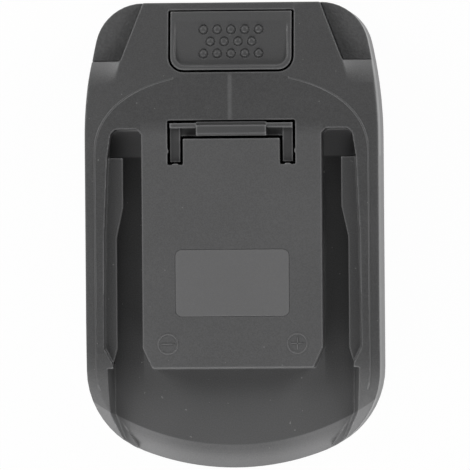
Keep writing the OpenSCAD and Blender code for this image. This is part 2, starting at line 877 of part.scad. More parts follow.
module release_button() {
    bump_r = (bump_d * bump_d / 4 + bump_h * bump_h) / (2 * bump_h);
    color(darker) difference() {
        union() {
            difference() {
                intersection() {
                    translate([0, 0, carriage_top]) linear_extrude(deck_z)
                        rounded_plan(-button_w / 2, button_y, button_w / 2, front_y + button_corner_r,
                            button_corner_r);
                    across([
                        [button_y - past, carriage_top],
                        [button_front_y, carriage_top],
                        [button_front_y, button_z(button_front_y)],
                        [button_y - past, button_z(button_y - past)]
                    ]);
                }
                intersection() {
                    translate([0, 0, carriage_top]) linear_extrude(deck_z)
                        rounded_plan(-button_w / 2 + dish_edge, dish_y, button_w / 2 - dish_edge,
                            dish_front_y + button_corner_r, button_corner_r - dish_edge / 2);
                    across([
                        [dish_y - past, dish_z(dish_y - past)],
                        [dish_front_y, dish_z(dish_front_y)],
                        [dish_y - past, deck_z + past]
                    ]);
                }
            }
            // Domes that stand on the floor of the dish
            for (p = bump_places()) translate([p.x, p.y, dish_z(p.y)])
                intersection() {
                    translate([0, 0, bump_h - bump_r]) sphere(r = bump_r);
                    translate([0, 0, -bite]) cylinder(h = bump_h + 2 * bite, d = bump_d);
                }
        }
        both_sides() translate([button_screw_x, button_screw_y, carriage_top - past])
            cylinder(h = button_screw_grip + past + fit, d = small_screw_d + hole_fit);
    }
}

module latch_hook() {
    top = deck_z + hook_proud;
    color(darker) difference() {
        union() {
            // Cross bar with a ridge along its front on both sides, and the legs
            centred_block(hook_w, hook_bar_y, hook_y, carriage_top, shelf_z);
            both_sides() {
                translate([hook_middle_w / 2, hook_y - hook_ridge, carriage_top])
                    cube([hook_x - hook_middle_w / 2, hook_ridge, ridge_z - carriage_top]);
                translate([hook_leg_x, hook_rear_y, carriage_top])
                    cube([hook_leg, hook_len - fit, leg_z - carriage_top]);
            }
            // Catch in the middle, with a ledge before it and a lead-in at its rear
            centred_block(hook_middle_w, hook_bar_y, hook_y + slot_gap / 2, under_deck_z, ledge_z);
            intersection() {
                centred_block(hook_middle_w, catch_rear_y, catch_front_y, carriage_top, top);
                across([
                    [catch_rear_y, carriage_top], [catch_front_y, carriage_top], [catch_front_y, top],
                    [catch_rear_y + lead_in, top], [catch_rear_y, top - lead_in]
                ]);
            }
        }
        both_sides() translate([hook_screw_x, hook_screw_y, carriage_top - past])
            cylinder(h = hook_screw_grip + past + fit, d = small_screw_d + hole_fit);
    }
}

module latch_carriage() {
    rim = 2;
    color([0.16, 0.16, 0.17]) difference() {
        centred_block(2 * carriage_x, carriage_rear_y, carriage_front_y, carriage_z, carriage_top);
        both_sides() {
            translate([post_x, post_y, carriage_z - past])
                cylinder(h = carriage_t + 2 * past, d = post_d + 2 * slide_fit);
            for (p = latch_screw_places()) translate([p.x, p.y, carriage_z - past]) {
                cylinder(h = latch_head_h + past, d = small_head_d + head_fit);
                cylinder(h = carriage_t + 2 * past, d = small_screw_d + loose_fit);
            }
        }
        // Windows that save weight, each with a rim around it
        centred_block(post_x, hook_y + rim, post_y + post_d / 2 + rim, carriage_z - past,
            carriage_top + past);
        centred_block(2 * (hook_leg_x - rim), carriage_rear_y - past, hook_bar_y - rim, carriage_z - past,
            carriage_top + past);
    }
}

// Places of the screws under the hook and under the button
function latch_screw_places() = [[hook_screw_x, hook_screw_y], [button_screw_x, button_screw_y]];

// Centre points of a spring, from its seat to the carriage
spring_steps = 8;
function spring_point(i) = let (
        low = chamber_z + spring_wire / 2 + fit,
        high = carriage_z - spring_wire / 2 - fit
    ) [spring_r * cos(360 * i / spring_steps), spring_r * sin(360 * i / spring_steps),
        low + (high - low) * i / (spring_steps * spring_turns)];

module spring() {
    sides = 6;
    count = spring_steps * spring_turns;
    function ring(i) = let (c = spring_point(i), out = [c.x, c.y, 0] / spring_r)
        [for (k = [0:sides - 1]) let (a = 360 * k / sides)
            c + spring_wire / 2 * (cos(a) * out + [0, 0, sin(a)])];
    tube([for (i = [0:count]) ring(i)]);
}

// Closed tube through rings of points
module tube(rings) {
    sides = len(rings[0]);
    last = (len(rings) - 1) * sides;
    walls = [for (i = [0:len(rings) - 2], k = [0:sides - 1])
        let (a = i * sides + k, b = i * sides + (k + 1) % sides)
        each [[a, b, b + sides], [a, b + sides, a + sides]]];
    polyhedron([for (ring = rings) each ring], concat(
        [[for (k = [sides - 1:-1:0]) k]], walls, [[for (k = [0:sides - 1]) last + k]]));
}

module latch_springs() {
    color(steel) both_sides() translate([post_x, post_y, 0]) spring();
}

// Screw with a cross recess, its head below Z = 0 and its shank above
module screw(head_d, head_h, shank_d, grip) {
    recess_l = 0.6 * head_d;
    recess_w = 0.14 * head_d;
    recess_h = 0.55 * head_h;
    difference() {
        union() {
            translate([0, 0, -head_h]) cylinder(h = head_h, d = head_d);
            cylinder(h = grip, d = shank_d);
        }
        for (a = [0, 90]) rotate(a) translate([-recess_l / 2, -recess_w / 2, -head_h - past])
            cube([recess_l, recess_w, recess_h + past]);
    }
}

module latch_screws() {
    under = carriage_z + latch_head_h;
    grip = carriage_top - under;
    color(steel) both_sides() {
        translate([hook_screw_x, hook_screw_y, under])
            screw(small_head_d, latch_head_h - head_sink, small_screw_d, grip + hook_screw_grip);
        translate([button_screw_x, button_screw_y, under])
            screw(small_head_d, latch_head_h - head_sink, small_screw_d, grip + button_screw_grip);
    }
}

module terminal_carrier() {
    color(darker) difference() {
        union() {
            centred_block(carrier_w, carrier_y, carrier_y + carrier_l, carrier_z, under_deck_z);
            centred_block(carrier_w + 2 * ear_w, ear_y - ear_l / 2, ear_y + ear_l / 2, ear_z, ear_z + ear_t);
        }
        for (x = [-clip_x, -signal_clip_x, signal_clip_x, clip_x])
            centred_at(x, clip_w + 2 * fit, carrier_y - past, clip_tail_y + past, clip_z,
                clip_z + clip_h + 2 * fit);
        both_sides() translate([ear_x, ear_y, ear_z - past])
            cylinder(h = ear_t + 2 * past, d = small_screw_d + loose_fit);
    }
}

// Spring clip of two leaves, with a tail that stands on the circuit board
module clip() {
    color(brass) {
        difference() {
            centred_block(clip_w, clip_y, clip_tail_y, clip_z, clip_z + clip_h);
            centred_block(clip_gap, clip_y - past, clip_y + clip_l, clip_z - past, clip_z + clip_h + past);
        }
        centred_block(clip_w, clip_tail_y, clip_tail_y + clip_tail_l, board_top, clip_z + clip_h);
    }
}

module positive_clip() {
    translate([clip_x, 0, 0]) clip();
}

module negative_clip() {
    translate([-clip_x, 0, 0]) clip();
}

module signal_clips() {
    both_sides() translate([signal_clip_x, 0, 0]) clip();
}

module blade_block() {
    color(darker) difference() {
        centred_block(block_w, bay_y, block_y, block_z, bay_h);
        for (x = [-blade_x, -signal_blade_x, signal_blade_x, blade_x])
            translate([x, 0, 0]) blade_shape(block_l, blade_t + 2 * fit, fit);
        both_sides() translate([block_screw_x, block_screw_y, bay_h - block_screw_grip - fit])
            cylinder(h = block_screw_grip + past, d = small_screw_d + hole_fit);
    }
}

// Blade with a tail that goes up through the bay ceiling
module blade_shape(reach, t, grow = 0) {
    tip = block_y + reach;
    translate([-t / 2, 0, 0]) rotate([90, 0, 90]) linear_extrude(t) polygon([
        [blade_rear_y - grow, blade_z - grow],
        [tip - blade_bevel, blade_z - grow],
        [tip, blade_z + blade_bevel],
        [tip, blade_z + blade_h - blade_bevel],
        [tip - blade_bevel, blade_z + blade_h + grow],
        [blade_rear_y + blade_tail_l + grow, blade_z + blade_h + grow],
        [blade_rear_y + blade_tail_l + grow, blade_top_z],
        [blade_rear_y - grow, blade_top_z]
    ]);
}

module positive_blade() {
    color(brass) translate([blade_x, 0, 0]) blade_shape(blade_len, blade_t);
}

module negative_blade() {
    color(brass) translate([-blade_x, 0, 0]) blade_shape(blade_len, blade_t);
}

module signal_blades() {
    color(brass) both_sides() translate([signal_blade_x, 0, 0]) blade_shape(signal_blade_len, blade_t);
}

module circuit_board() {
    color([0.1, 0.35, 0.2]) difference() {
        centred_block(board_w, board_y, board_y + board_l, board_z, board_top);
        both_sides() for (y = board_screw_y) translate([board_screw_x, y, board_z - past])
            cylinder(h = board_t + 2 * past, d = small_screw_d + loose_fit);
    }
}

// Package with leads that stand on the circuit board
module chip(size) {
    translate([-size.x / 2, -size.y / 2, board_top]) cube(size);
}

module cutoff_transistors() {
    color(darker) both_sides() translate([board_w / 4 - 2, board_mid_y + 4, 0]) chip(transistor_size);
}

module control_chip() {
    color(darker) translate([0, board_mid_y - 4, 0]) chip(control_size);
}

module id_resistors() {
    color(white) both_sides() translate([2.6, board_screw_y[1], 0]) chip(resistor_size);
}

// Lead from the top of a blade to the circuit board, in a plane along the adapter
module lead(x, d) {
    bend = 1.6 * d;
    start = [blade_rear_y + blade_tail_l / 2, blade_top_z];
    top_z = blade_top_z + lead_rise + bend;
    sides = 8;
    path = concat(
        [start],
        [for (p = arc([start.x + bend, top_z - bend], bend, 180, 90, 5)) p],
        [for (p = arc([lead_pad_y - bend, top_z - bend], bend, 90, 0, 5)) p],
        [[lead_pad_y, board_top]]
    );
    n = len(path);
    function along(i) = let (v = path[min(i + 1, n - 1)] - path[max(i - 1, 0)]) v / norm(v);
    function ring(i) = let (t = i == 0 ? [0, 1] : i == n - 1 ? [0, -1] : along(i))
        [for (k = [0:sides - 1]) let (a = 360 * k / sides)
            [x + d / 2 * cos(a), path[i].x - t.y * d / 2 * sin(a), path[i].y + t.x * d / 2 * sin(a)]];
    tube([for (i = [0:n - 1]) ring(i)]);
}

module positive_wire() {
    color("firebrick") lead(blade_x, lead_d);
}

module negative_wire() {
    color([0.08, 0.08, 0.08]) lead(-blade_x, lead_d);
}

module signal_wires() {
    color("gold") {
        lead(signal_blade_x, signal_lead_d);
        lead(-signal_blade_x, signal_lead_d);
    }
}

module housing_screws() {
    color(steel) both_sides() for (y = screw_y) translate([screw_x, y, housing_screw_z])
        screw(housing_head_d, housing_head_h, housing_screw_d,
            split_z - housing_screw_z + housing_screw_grip);
}

module board_screws() {
    color(steel) both_sides() for (y = board_screw_y) translate([board_screw_x, y, board_top])
        mirror([0, 0, 1]) screw(small_head_d, small_head_h, small_screw_d, board_t + board_screw_grip);
}

module carrier_screws() {
    color(steel) both_sides() translate([ear_x, ear_y, ear_z])
        screw(small_head_d, small_head_h, small_screw_d, ear_t + carrier_screw_grip);
}

module block_screws() {
    color(steel) both_sides() translate([block_screw_x, block_screw_y, chamber_z])
        mirror([0, 0, 1]) screw(small_head_d, small_head_h, small_screw_d, ceiling_t + block_screw_grip);
}

top_shell();
bottom_shell();
corner_pads();
label_plate();
release_button();
latch_hook();
latch_carriage();
latch_springs();
latch_screws();
terminal_carrier();
positive_clip();
negative_clip();
signal_clips();
blade_block();
positive_blade();
negative_blade();
signal_blades();
circuit_board();
cutoff_transistors();
control_chip();
id_resistors();
positive_wire();
negative_wire();
signal_wires();
housing_screws();
board_screws();
carrier_screws();
block_screws();
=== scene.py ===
"""Looks of a slide-on tool battery adapter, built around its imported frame.

The frame gives every solid and its place. This file moulds the plastic pieces with rounded edges,
winds the springs, raises the polarity marks, dresses every piece with a node-based finish, and sets
a plain studio with the camera above the tool side.
"""

import logging
import math
from dataclasses import dataclass
from enum import Enum
from typing import Any

import bmesh
import bpy
from mathutils import Matrix, Vector
from mathutils.bvhtree import BVHTree


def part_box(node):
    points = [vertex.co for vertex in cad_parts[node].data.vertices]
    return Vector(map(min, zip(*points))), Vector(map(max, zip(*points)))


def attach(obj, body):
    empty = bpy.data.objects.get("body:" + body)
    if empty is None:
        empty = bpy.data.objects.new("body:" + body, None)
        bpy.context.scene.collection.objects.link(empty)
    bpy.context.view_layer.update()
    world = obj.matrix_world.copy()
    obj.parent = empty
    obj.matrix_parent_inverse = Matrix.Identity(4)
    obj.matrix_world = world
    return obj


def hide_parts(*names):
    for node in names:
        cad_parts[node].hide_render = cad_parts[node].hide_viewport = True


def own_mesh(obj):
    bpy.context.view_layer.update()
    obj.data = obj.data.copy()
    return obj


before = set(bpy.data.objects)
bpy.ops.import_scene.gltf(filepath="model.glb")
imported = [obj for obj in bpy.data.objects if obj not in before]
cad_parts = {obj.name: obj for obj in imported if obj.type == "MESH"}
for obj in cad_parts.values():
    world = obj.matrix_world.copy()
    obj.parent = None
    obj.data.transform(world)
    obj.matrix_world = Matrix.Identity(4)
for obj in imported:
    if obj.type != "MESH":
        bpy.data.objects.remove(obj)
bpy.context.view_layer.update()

LOG = logging.getLogger("adapter")
MM = 0.001

# Points closer than this become one, faces flatter than this one face, and sharper corners are broken
WELD = 0.002 * MM
FLAT_ANGLE = math.radians(1.0)
EDGE_ANGLE = math.radians(35.0)

Colour = tuple[float, float, float]


class Body(Enum):
    """Bodies of the frame that pieces ride on."""

    HOUSING = "housing"
    LATCH = "latch"


class Grain(Enum):
    """Textures of the mould, as grains per metre and their depth in metres."""

    SATIN = (5200.0, 0.006 * MM)
    SPARKED = (3400.0, 0.012 * MM)
    ROUGH = (1500.0, 0.14 * MM)


class Signal:
    """An output socket that takes part in Python expressions."""

    def __init__(self, sheet: "NodeSheet", socket: bpy.types.NodeSocket | None) -> None:
        """Keep the socket and the node tree that it belongs to."""
        self.sheet = sheet
        self.socket = socket

    def _math(self, operation: str, first: "Signal | float", second: "Signal | float") -> "Signal":
        """Add a Math node on two values."""
        return self.sheet.add("ShaderNodeMath", {"operation": operation}, {0: first, 1: second})

    def __add__(self, other: "Signal | float") -> "Signal":
        """Sum of both values."""
        return self._math("ADD", self, other)

    def __radd__(self, other: float) -> "Signal":
        """Sum of both values."""
        return self._math("ADD", other, self)

    def __sub__(self, other: "Signal | float") -> "Signal":
        """This value less the other."""
        return self._math("SUBTRACT", self, other)

    def __rsub__(self, other: float) -> "Signal":
        """The other value less this one."""
        return self._math("SUBTRACT", other, self)

    def __mul__(self, other: "Signal | float") -> "Signal":
        """Product of both values."""
        return self._math("MULTIPLY", self, other)

    def __rmul__(self, other: float) -> "Signal":
        """Product of both values."""
        return self._math("MULTIPLY", other, self)

    def __abs__(self) -> "Signal":
        """This value without its sign."""
        return self._math("ABSOLUTE", self, 0.0)

    def most(self, other: "Signal | float") -> "Signal":
        """The larger of both values."""
        return self._math("MAXIMUM", self, other)

    def step(self, low: float, high: float) -> "Signal":
        """Smooth step that goes from 0 at low to 1 at high."""
        return self.sheet.add(
            "ShaderNodeMapRange",
            {"interpolation_type": "SMOOTHSTEP"},
            {"Value": self, "From Min": low, "From Max": high},
        )


class NodeSheet:
    """A node tree that is filled by short expressions."""

    def __init__(self, tree: bpy.types.NodeTree) -> None:
        """Take over a node tree and clear it."""
        self.tree = tree
        self.tree.nodes.clear()

    def add(
        self,
        kind: str,
        settings: dict[str, Any] | None = None,
        inputs: dict[str | int, Any] | None = None,
        output: str | int = 0,
    ) -> Signal:
        """Add a node of any kind.

        Args:
            kind: Type name of the node.
            settings: Properties of the node, which are set first.
            inputs: Values, or signals to link, by socket name or number.
            output: Socket that the signal stands for.

        Returns:
            The chosen output as a signal.
        """
        node = self.tree.nodes.new(kind)
        for key, value in (settings or {}).items():
            setattr(node, key, value)
        for key, value in (inputs or {}).items():
            if isinstance(value, Signal):
                self.tree.links.new(value.socket, node.inputs[key])
            else:
                node.inputs[key].default_value = value
        return Signal(self, node.outputs[output] if node.outputs else None)

    def noise(self, place: Signal, scale: float, detail: float = 2.0) -> Signal:
        """Noise of a scale in grains per metre, from 0 to 1."""
        return self.add("ShaderNodeTexNoise", None, {"Vector": place, "Scale": scale, "Detail": detail})

    def blend(self, first: Colour | Signal, second: Colour | Signal, share: Signal) -> Signal:
        """Mix two colours.

        Args:
            first: Colour at a share of 0.
            second: Colour at a share of 1.
            share: Share of the second colour.

        Returns:
            The mixed colour.
        """
        ends = [end if isinstance(end, Signal) else (*end, 1.0) for end in (first, second)]
        return self.add(
            "ShaderNodeMix", {"data_type": "RGBA"}, {0: share, 6: ends[0], 7: ends[1]}, output=2
        )

    def bump(self, height: Signal, depth: float) -> Signal:
        """Normal of a relief of this depth in metres."""
        return self.add("ShaderNodeBump", None, {"Strength": 1.0, "Distance": depth, "Height": height})

    def place(self, kind: str = "Object") -> Signal:
        """Place on the piece in metres, or the direction seen in a world."""
        return self.add("ShaderNodeTexCoord", output=kind)

    def axis(self, place: Signal, name: str) -> Signal:
        """One coordinate of a place."""
        return self.add("ShaderNodeSeparateXYZ", None, {0: place}, output=name)

    def edges(self, reach: float) -> Signal:
        """How close a place is to an outer edge, from 0 away from edges to 1 on them."""
        inner = self.add(
            "ShaderNodeAmbientOcclusion", {"inside": True, "samples": 12}, {"Distance": reach}, output="AO"
        )
        return 1.0 - inner.step(0.45, 0.95)

    def hollows(self, reach: float) -> Signal:
        """How deep a place lies in a corner, from 0 in the open to 1."""
        outer = self.add("ShaderNodeAmbientOcclusion", {"samples": 8}, {"Distance": reach}, output="AO")
        return 1.0 - outer.step(0.3, 0.95)

    def surface(self, **inputs: Any) -> None:
        """Finish a material with one Principled shader.

        Args:
            **inputs: Values or signals, by socket names in lower case with underscores.
        """
        named = {key.replace("_", " ").title().replace("Ior", "IOR"): value for key, value in inputs.items()}
        shader = self.add("ShaderNodeBsdfPrincipled", None, named)
        self.add("ShaderNodeOutputMaterial", None, {"Surface": shader})


def new_material(name: str) -> tuple[bpy.types.Material, NodeSheet]:
    """Make an empty material.

    Args:
        name: Name of the material.

    Returns:
        The material and the sheet that fills it.
    """
    material = bpy.data.materials.new(name)
    material.use_nodes = True
    return material, NodeSheet(material.node_tree)


def dress(piece: bpy.types.Object, material: bpy.types.Material) -> None:
    """Give a piece one material and report it.

    Args:
        piece: Piece of the adapter or of the studio.
        material: Its finish.
    """
    piece.data.materials.clear()
    piece.data.materials.append(material)
    LOG.info("%s: %s", piece.name, material.name)


def grey(level: float) -> Colour:
    """Grey of this level, a touch cool."""
    return (level, level, level + 0.001)


@dataclass(frozen=True)
class MouldedPlastic:
    """Moulded plastic with the grain of its mould.

    Attributes:
        name: Name of the material.
        colour: Base colour.
        roughness: Mean roughness.
        grain: Texture of the mould.
        edge: Strength of the painted highlight along outer edges, from 0 to 1.
        dust: Share of pale specks, from 0 to 1.
        corner_shade: Strength of the painted shade in corners and crevices, from 0 to 1.
        edge_reach: Width of the painted edge highlight.
        hollow_reach: Distance to a facing wall below which a corner gets painted shade.
        low: Darkest tone of the grain and of painted shade, as a share of the base colour.
        high: Palest tone of the grain and of painted light, as a share of the base colour.
        shaded: Tone of the painted shade in corners and crevices, as a share of the base colour.
        highlighted: Tone of the painted edge highlight, as a share of the base colour.
        speck: Colour of the pale specks.
        clouds: Scale of the broad, soft shades, in clouds per metre.
        specks: Scale of the specks, in specks per metre.
    """

    name: str
    colour: Colour
    roughness: float
    grain: Grain
    edge: float = 0.0
    dust: float = 0.0
    corner_shade: float = 0.0
    edge_reach: float = 0.6 * MM
    hollow_reach: float = 0.8 * MM
    low: float = 0.6
    high: float = 2.6
    shaded: float = 0.4
    highlighted: float = 2.8
    speck: Colour = (0.5, 0.5, 0.49)
    clouds: float = 60.0
    specks: float = 1300.0

    def tone(self, share: float) -> Colour:
        """The base colour, made darker or paler by a share."""
        return tuple(share * part for part in self.colour)

    def tint(self, sheet: NodeSheet, place: Signal) -> Signal | float:
        """How much paler or darker a place is than the rest."""
        return 0.0

    def material(self) -> bpy.types.Material:
        """Build the material.

        Returns:
            The new material.
        """
        material, sheet = new_material(self.name)
        place = sheet.place()
        cells, depth = self.grain.value
        fine = sheet.noise(place, cells, 3.0)
        cloud = sheet.noise(place, self.clouds, 4.0)
        # Painted highlight along outer edges, which are also made a little glossier
        edge_highlight = sheet.edges(self.edge_reach) * self.edge
        speck = sheet.noise(place, self.specks, 0.0).step(0.86, 0.88) * self.dust
        # Painted shade in corners, creases and crevices, darkest where a wall stands close
        corner_shade = sheet.hollows(self.hollow_reach) * self.corner_shade
        # Share of the palest tone: grain, clouds, and any painted light and shade from the tint
        share = 0.09 + 0.14 * fine.step(0.3, 0.7) + 0.08 * cloud + self.tint(sheet, place)
        grain_and_painted_light = sheet.blend(self.tone(self.low), self.tone(self.high), share)
        shaded = sheet.blend(grain_and_painted_light, self.tone(self.shaded), corner_shade)
        highlighted = sheet.blend(shaded, self.tone(self.highlighted), edge_highlight)
        sheet.surface(
            base_color=sheet.blend(highlighted, self.speck, speck),
            roughness=self.roughness - 0.1 + 0.12 * fine + 0.08 * cloud - 0.08 * edge_highlight,
            normal=sheet.bump(fine, depth),
        )
        return material


@dataclass(frozen=True)
class ShellPlastic(MouldedPlastic):
    """Plastic of the upper shell, with painted light and shade over its slopes and channels.

    Attributes:
        tongue: Half the width of the tongue.
        tongue_rear: Rear end of the tongue.
        front: Front end of the part that tools slide over.
        shoulder: Inner edge of the shoulders, level with the middle of the part.
        lean: How far that edge leans in, for each metre forward.
        line: Place of the pale flow line across the deck.
        line_front: Front end of that line.
        strip_y: Centre of the arc where the smooth end strip begins.
        strip_r: Radius of that arc.
        floor: Height just above the floor of the channels.
    """

    tongue: float = 23.4 * MM
    tongue_rear: float = -34.0 * MM
    front: float = 27.0 * MM
    shoulder: float = 37.7 * MM
    lean: float = 0.2
    line: float = -0.3 * MM
    line_front: float = 42.0 * MM
    strip_y: float = 9.0 * MM
    strip_r: float = 63.0 * MM
    floor: float = 36.0 * MM

    def tint(self, sheet: NodeSheet, place: Signal) -> Signal:
        """How much painted light or shade, or the pale flow line, makes a place paler or darker.

        Args:
            sheet: Sheet of the material.
            place: Place on the piece.

        Returns:
            What is added to the share of the palest tone.
        """
        x, y, z = (sheet.axis(place, name) for name in "XYZ")
        # Painted light on the middle of the deck, and painted shade beside the tongue and on the front part
        beside = abs(x).step(self.tongue - 0.2 * MM, self.tongue + 0.2 * MM)
        beside = beside * y.step(self.tongue_rear - 6 * MM, self.tongue_rear + 4 * MM)
        ahead = y.step(self.front - 2 * MM, self.front + 3 * MM)
        lit_deck = (1.0 - ahead) * (1.0 - beside)
        flow = 1.0 - abs(x - self.line).step(0.1 * MM, 0.9 * MM)
        flow = flow * y.step(self.front + 2 * MM, self.front + 3 * MM)
        flow = flow * (1.0 - y.step(self.line_front - MM, self.line_front))
        # Painted highlight on the shoulders, brightest towards their step
        rise = (abs(x) + self.lean * y).step(self.shoulder - 0.3 * MM, self.shoulder + 0.3 * MM)
        rise = rise * y.step(self.front + 12 * MM, self.front + 19.5 * MM)
        # Painted highlight on the sloping end strip, stronger towards its sides
        away = y - self.strip_y
        strip = (x * x + away * away).step((self.strip_r - 0.1 * MM) ** 2, (self.strip_r + 0.2 * MM) ** 2)
        strip = strip * (1.0 - y.step(self.tongue_rear - 6 * MM, self.tongue_rear))
        ends = abs(x).step(6 * MM, 24 * MM) * strip
        # Painted light on the front part of the channel floors, which would otherwise lie in shade
        deep = beside * (1.0 - z.step(self.floor, self.floor + MM))
        deep = deep * y.step(self.front - 7 * MM, self.front - 6.4 * MM)
        pale = 0.1 * lit_deck + 0.26 * flow + 0.55 * rise + 0.16 * strip + 0.34 * ends + 0.6 * deep
        return pale - 0.1 * beside.most(ahead)


@dataclass(frozen=True)
class LatchPlastic(MouldedPlastic):
    """Plastic of the latch, with painted shade on the legs that lie deep in their slot.

    Attributes:
        middle: Half the width of the catch between the legs.
        bar: Rear edge of the ridge along the cross bar.
    """

    middle: float = 9.0 * MM
    bar: float = 27.7 * MM

    def tint(self, sheet: NodeSheet, place: Signal) -> Signal:
        """How much painted shade darkens a place.

        Args:
            sheet: Sheet of the material.
            place: Place on the piece.

        Returns:
            What is added to the share of the palest tone.
        """
        x, y = sheet.axis(place, "X"), sheet.axis(place, "Y")
        # Painted shade on the legs and corners beside the catch, behind the cross bar's ridge
        outer = abs(x).step(self.middle, self.middle + 0.3 * MM)
        return -0.11 * outer * (1.0 - y.step(self.bar - 0.2 * MM, self.bar + 0.2 * MM))


@dataclass(frozen=True)
class Metal:
    """Drawn or stamped metal with fine lines along it.

    Attributes:
        name: Name of the material.
        colour: Colour of the metal.
        roughness: Mean roughness.
        stretch: How much closer the fine lines lie along each axis.
        lines: Scale of the fine lines, in lines per metre.
        stains: Scale of the dull stains, in stains per metre.
        dull: Tone of the stains, as a share of the colour.
    """

    name: str
    colour: Colour
    roughness: float
    stretch: tuple[float, float, float] = (6.0, 0.25, 1.0)
    lines: float = 1400.0
    stains: float = 160.0
    dull: float = 0.72

    def material(self) -> bpy.types.Material:
        """Build the material.

        Returns:
            The new material.
        """
        material, sheet = new_material(self.name)
        place = sheet.place()
        drawn = sheet.add("ShaderNodeMapping", None, {"Vector": place, "Scale": self.stretch})
        grain = sheet.noise(drawn, self.lines, 3.0)
        stain = sheet.noise(place, self.stains, 3.0).step(0.35, 0.75)
        dull = tuple(self.dull * part for part in self.colour)
        sheet.surface(
            base_color=sheet.blend(self.colour, dull, stain),
            roughness=self.roughness - 0.08 + 0.16 * grain + 0.1 * stain,
            normal=sheet.bump(grain, 0.004 * MM),
            metallic=1.0,
        )
        return material


@dataclass(frozen=True)
class CircuitBoard:
    """Green solder mask over copper tracks.

    Attributes:
        name: Name of the material.
        mask: Colour of the bare board.
        track: Colour over the tracks.
        meshes: Scale of the net of tracks, in meshes per metre.
    """

    name: str = "solder_mask"
    mask: Colour = (0.012, 0.075, 0.03)
    track: Colour = (0.03, 0.16, 0.06)
    meshes: float = 260.0

    def material(self) -> bpy.types.Material:
        """Build the material.

        Returns:
            The new material.
        """
        material, sheet = new_material(self.name)
        place = sheet.place()
        ways = sheet.add(
            "ShaderNodeTexVoronoi",
            {"feature": "DISTANCE_TO_EDGE", "distance": "EUCLIDEAN"},
            {"Vector": place, "Scale": self.meshes},
        )
        tracks = 1.0 - ways.step(0.06, 0.1)
        weave = sheet.noise(place, 2600.0, 1.0)
        sheet.surface(
            base_color=sheet.blend(self.mask, self.track, tracks),
            roughness=0.28 + 0.14 * weave,
            normal=sheet.bump(tracks + 0.2 * weave, 0.03 * MM),
        )
        return material


@dataclass(frozen=True)
class ChipResistor:
    """Dark glaze between tinned ends.

    Attributes:
        name: Name of the material.
        spacing: Distance of each resistor from the centre line.
        bare: Distance from a resistor's middle to its tinned ends.
    """

    name: str = "chip_resistor"
    spacing: float = 2.6 * MM
    bare: float = 1.1 * MM

    def material(self) -> bpy.types.Material:
        """Build the material.

        Returns:
            The new material.
        """
        material, sheet = new_material(self.name)
        place = sheet.place()
        offset = abs(abs(sheet.axis(place, "X")) - self.spacing)
        tinned = offset.step(self.bare - 0.05 * MM, self.bare + 0.05 * MM)
        grain = sheet.noise(place, 3000.0, 2.0)
        sheet.surface(
            base_color=sheet.blend((0.012, 0.012, 0.014), (0.62, 0.61, 0.58), tinned),
            roughness=0.3 + 0.2 * grain,
            metallic=tinned,
            normal=sheet.bump(grain, 0.01 * MM),
        )
        return material


HOUSING_PLASTIC = ShellPlastic(
    "housing_plastic", grey(0.082), 0.42, Grain.SPARKED, edge=1.0, dust=0.25, corner_shade=0.6
)
LINE_PLASTIC = ShellPlastic("line_plastic", grey(0.086), 0.42, Grain.SATIN, edge=0.12, corner_shade=0.5)
BASE_PLASTIC = MouldedPlastic(
    "base_plastic", grey(0.076), 0.45, Grain.SPARKED, edge=0.5, dust=0.1, corner_shade=0.6
)
PAD_PLASTIC = MouldedPlastic("pad_plastic", grey(0.075), 0.6, Grain.ROUGH, edge=0.2)
BUTTON_PLASTIC = MouldedPlastic("button_plastic", grey(0.077), 0.4, Grain.SATIN, edge=1.0, corner_shade=0.7)
# Painted shade on the grip bumps: a darker grey than the button they are moulded with, and strong corner
# shade
SHADED_BUMP_PLASTIC = MouldedPlastic("shaded_bump_plastic", grey(0.068), 0.45, Grain.SATIN, corner_shade=0.9)
LATCH_PLASTIC = LatchPlastic("latch_plastic", grey(0.076), 0.4, Grain.SATIN, edge=1.0, corner_shade=0.6)
LABEL_FILM = MouldedPlastic("label_film", grey(0.095), 0.42, Grain.SATIN, edge=0.3)
INNER_PLASTIC = MouldedPlastic("inner_plastic", (0.022, 0.022, 0.024), 0.45, Grain.SATIN, edge=0.3)
CHIP_EPOXY = MouldedPlastic("chip_epoxy", grey(0.012), 0.5, Grain.SPARKED)
RED_INSULATION = MouldedPlastic("red_insulation", (0.42, 0.012, 0.01), 0.38, Grain.SATIN)
BLACK_INSULATION = MouldedPlastic("black_insulation", (0.012, 0.012, 0.012), 0.38, Grain.SATIN)
YELLOW_INSULATION = MouldedPlastic("yellow_insulation", (0.62, 0.38, 0.02), 0.38, Grain.SATIN)
SCREW_STEEL = Metal("screw_steel", (0.52, 0.53, 0.54), 0.34)
SPRING_STEEL = Metal("spring_steel", (0.48, 0.48, 0.49), 0.28)
CONTACT_BRASS = Metal("contact_brass", (0.72, 0.52, 0.24), 0.3)


